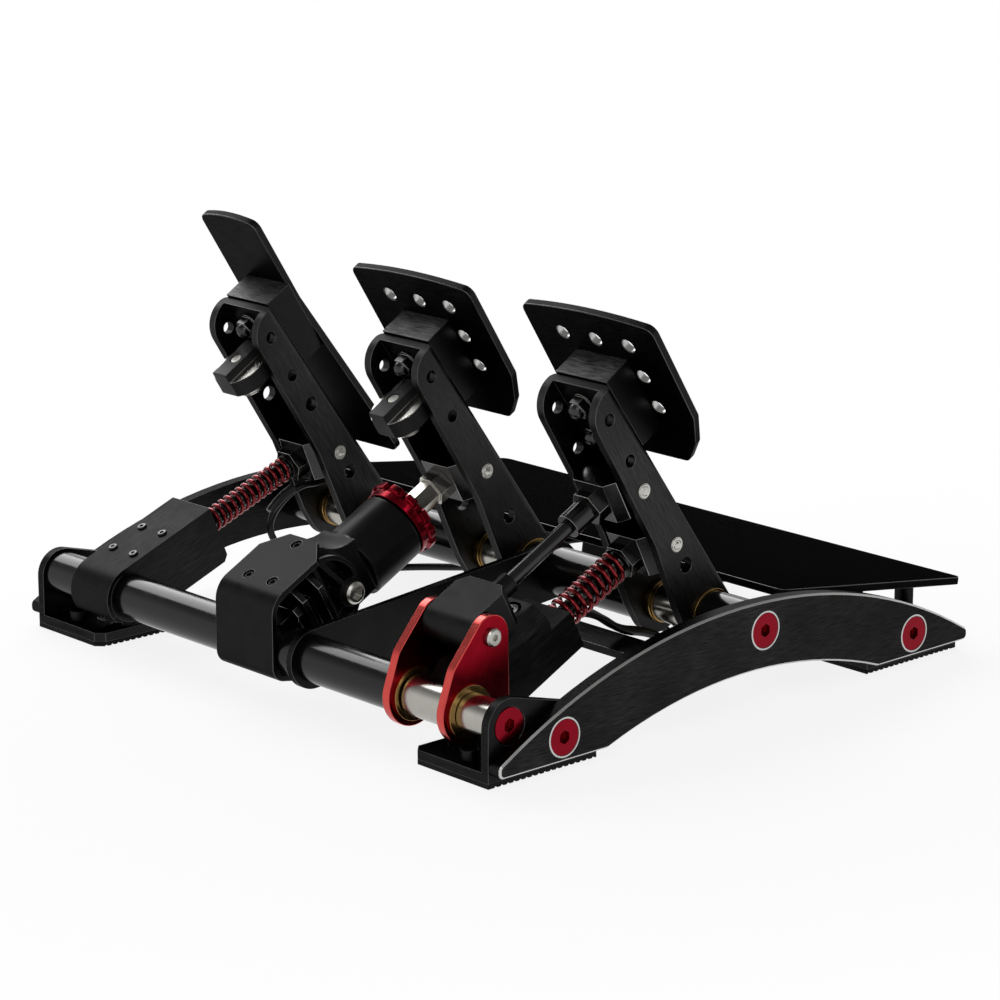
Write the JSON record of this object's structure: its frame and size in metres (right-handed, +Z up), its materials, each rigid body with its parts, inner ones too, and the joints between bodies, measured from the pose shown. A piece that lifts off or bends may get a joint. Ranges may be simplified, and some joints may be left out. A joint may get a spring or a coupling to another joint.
{
  "type": "sim racing pedal set",
  "caption": "Freestanding racing pedal frame with throttle, load cell brake and cam clutch, each a sprung lever on a shared axle, on rubber feet.",
  "frame": {"origin": "on the floor, midway between the four floor holes of the feet", "axes": "+X along the axle from the clutch to the throttle, +Y away from the driver, +Z up"},
  "size_m": [0.38, 0.3476, 0.2227],
  "materials": {
    "anodised_black": "brushed black anodised aluminium",
    "anodised_red": "red anodised aluminium",
    "polished_steel": "polished ground steel",
    "bright_steel": "bright turned steel",
    "black_steel": "black oxide steel",
    "gloss_black": "gloss black coated tube",
    "bronze": "plain bronze bearing",
    "red_spring": "red powder coated spring wire",
    "black_plastic": "moulded black plastic",
    "rubber": "black ribbed rubber",
    "cable_sheath": "black cable sheath"
  },
  "bodies": {
    "frame": {"side_plates": "anodised_black", "brackets": "anodised_black", "rubber_feet": "rubber", "floor_bolts": "black_steel", "axle": "polished_steel", "front_bar": "polished_steel", "sleeves": "gloss_black", "red_screws": "anodised_red", "heel_plate": "anodised_black", "heel_supports": "anodised_black", "tie_plate": "anodised_black", "cross_strut": "anodised_black", "control_box": "black_plastic", "throttle_cable": "cable_sheath", "clutch_cables": "cable_sheath"},
    "throttle_pedal": {"throttle_arm": "anodised_black", "throttle_bushings": "bronze", "throttle_pivot_pins": "bright_steel", "throttle_pad": "anodised_black", "throttle_pad_block": "anodised_black", "throttle_pad_fasteners": "black_steel", "throttle_motor": "bright_steel"},
    "throttle_weight": {"throttle_motor_weight": "black_plastic"},
    "throttle_link": {"throttle_swivel_block": "anodised_black", "throttle_rod": "bright_steel"},
    "throttle_box": {"throttle_housing": "anodised_black", "throttle_housing_screws": "black_steel", "throttle_spring": "red_spring"},
    "brake_pedal": {"brake_arm": "anodised_black", "brake_bushings": "bronze", "brake_pivot_pins": "bright_steel", "brake_pad": "anodised_black", "brake_pad_block": "anodised_black", "brake_pad_fasteners": "black_steel", "brake_motor": "bright_steel"},
    "brake_weight": {"brake_motor_weight": "black_plastic"},
    "brake_link": {"brake_swivel_block": "anodised_black", "brake_rod": "polished_steel"},
    "brake_unit": {"brake_cylinder": "black_plastic", "brake_clamp": "anodised_black", "brake_load_cell": "anodised_black", "brake_screws": "black_steel"},
    "brake_ring": {"brake_adjuster_ring": "anodised_red"},
    "clutch_pedal": {"clutch_arm": "anodised_black", "clutch_bushings": "bronze", "clutch_pivot_pins": "bright_steel", "clutch_pad": "anodised_black", "clutch_pad_block": "anodised_black", "clutch_pad_fasteners": "black_steel"},
    "clutch_push": {"clutch_upper_block": "anodised_black", "clutch_push_rod": "polished_steel", "clutch_rod_end": "anodised_black"},
    "clutch_link": {"clutch_lower_block": "anodised_black", "clutch_spring_rod": "black_steel"},
    "clutch_box": {"clutch_housing": "anodised_black", "clutch_housing_screw": "black_steel", "clutch_spring": "red_spring"},
    "clutch_cam_pair": {"clutch_cams": "anodised_red", "clutch_cam_bushings": "bronze", "clutch_cam_screws": "black_steel"}
  },
  "joints": [
    {"name": "throttle_press", "type": "hinge", "parent": "frame", "child": "throttle_pedal", "pos_m": [0.131, -0.0115, 0.0434], "axis": [-1, 0, 0], "range_deg": [0, 16], "stiffness_Nm_per_rad": 4, "springref_deg": -14.32, "deforming": ["throttle_spring", "throttle_cable"]},
    {"name": "throttle_swivel", "type": "hinge", "parent": "throttle_pedal", "child": "throttle_link", "pos_m": [0.131, 0.01419, 0.08513], "axis": [-1, 0, 0], "range_deg": [-17.6, 0.1]},
    {"name": "throttle_box_turn", "type": "hinge", "parent": "frame", "child": "throttle_box", "pos_m": [0.131, 0.1555, 0.0288], "axis": [-1, 0, 0], "range_deg": [-1.6, 0.1]},
    {"name": "throttle_weight_spin", "type": "hinge", "parent": "throttle_pedal", "child": "throttle_weight", "pos_m": [0.131, 0.06449, 0.13499], "axis": [0, 0.5329, 0.8462], "continuous": true},
    {"name": "brake_press", "type": "hinge", "parent": "frame", "child": "brake_pedal", "pos_m": [0, -0.0115, 0.0434], "axis": [-1, 0, 0], "range_deg": [0, 6], "stiffness_Nm_per_rad": 150, "springref_deg": -1.15},
    {"name": "brake_swivel", "type": "hinge", "parent": "brake_pedal", "child": "brake_link", "pos_m": [0, 0.02314, 0.10029], "axis": [-1, 0, 0], "range_deg": [-6.3, 0.1]},
    {"name": "brake_unit_turn", "type": "hinge", "parent": "frame", "child": "brake_unit", "pos_m": [0, 0.1555, 0.0288], "axis": [-1, 0, 0], "range_deg": [-0.3, 0.1]},
    {"name": "brake_ring_turn", "type": "hinge", "parent": "brake_unit", "child": "brake_ring", "pos_m": [0, 0.06531, 0.07751], "axis": [0, -0.8799, 0.4752], "range_deg": [-180, 180]},
    {"name": "brake_weight_spin", "type": "hinge", "parent": "brake_pedal", "child": "brake_weight", "pos_m": [0, 0.06449, 0.13499], "axis": [0, 0.5329, 0.8462], "continuous": true},
    {"name": "clutch_press", "type": "hinge", "parent": "frame", "child": "clutch_pedal", "pos_m": [-0.131, -0.0115, 0.0434], "axis": [-1, 0, 0], "range_deg": [0, 15], "stiffness_Nm_per_rad": 8, "springref_deg": -14.32, "deforming": ["clutch_spring"]},
    {"name": "clutch_push_swivel", "type": "hinge", "parent": "clutch_pedal", "child": "clutch_push", "pos_m": [-0.131, 0.0375, 0.11689], "axis": [-1, 0, 0], "range_deg": [-24.8, 0.1]},
    {"name": "clutch_link_swivel", "type": "hinge", "parent": "clutch_pedal", "child": "clutch_link", "pos_m": [-0.131, 0.01419, 0.08513], "axis": [-1, 0, 0], "range_deg": [-16.1, 0.1]},
    {"name": "clutch_box_turn", "type": "hinge", "parent": "frame", "child": "clutch_box", "pos_m": [-0.131, 0.1555, 0.0288], "axis": [-1, 0, 0], "range_deg": [-1.1, 0.1]},
    {"name": "clutch_cam_turn", "type": "hinge", "parent": "frame", "child": "clutch_cam_pair", "pos_m": [-0.131, 0.1555, 0.0288], "axis": [-1, 0, 0], "range_deg": [-0.1, 40.3]}
  ],
  "couplings": [
    {"joint": "throttle_swivel", "follows": "throttle_press", "ratio": -1.0958},
    {"joint": "throttle_box_turn", "follows": "throttle_press", "ratio": -0.0958},
    {"joint": "brake_swivel", "follows": "brake_press", "ratio": -1.0425},
    {"joint": "brake_unit_turn", "follows": "brake_press", "ratio": -0.0425},
    {"joint": "clutch_push_swivel", "follows": "clutch_press", "ratio": -1.6435},
    {"joint": "clutch_link_swivel", "follows": "clutch_press", "ratio": -1.066},
    {"joint": "clutch_box_turn", "follows": "clutch_press", "ratio": -0.066},
    {"joint": "clutch_cam_turn", "follows": "clutch_press", "ratio": 2.6762}
  ]
}
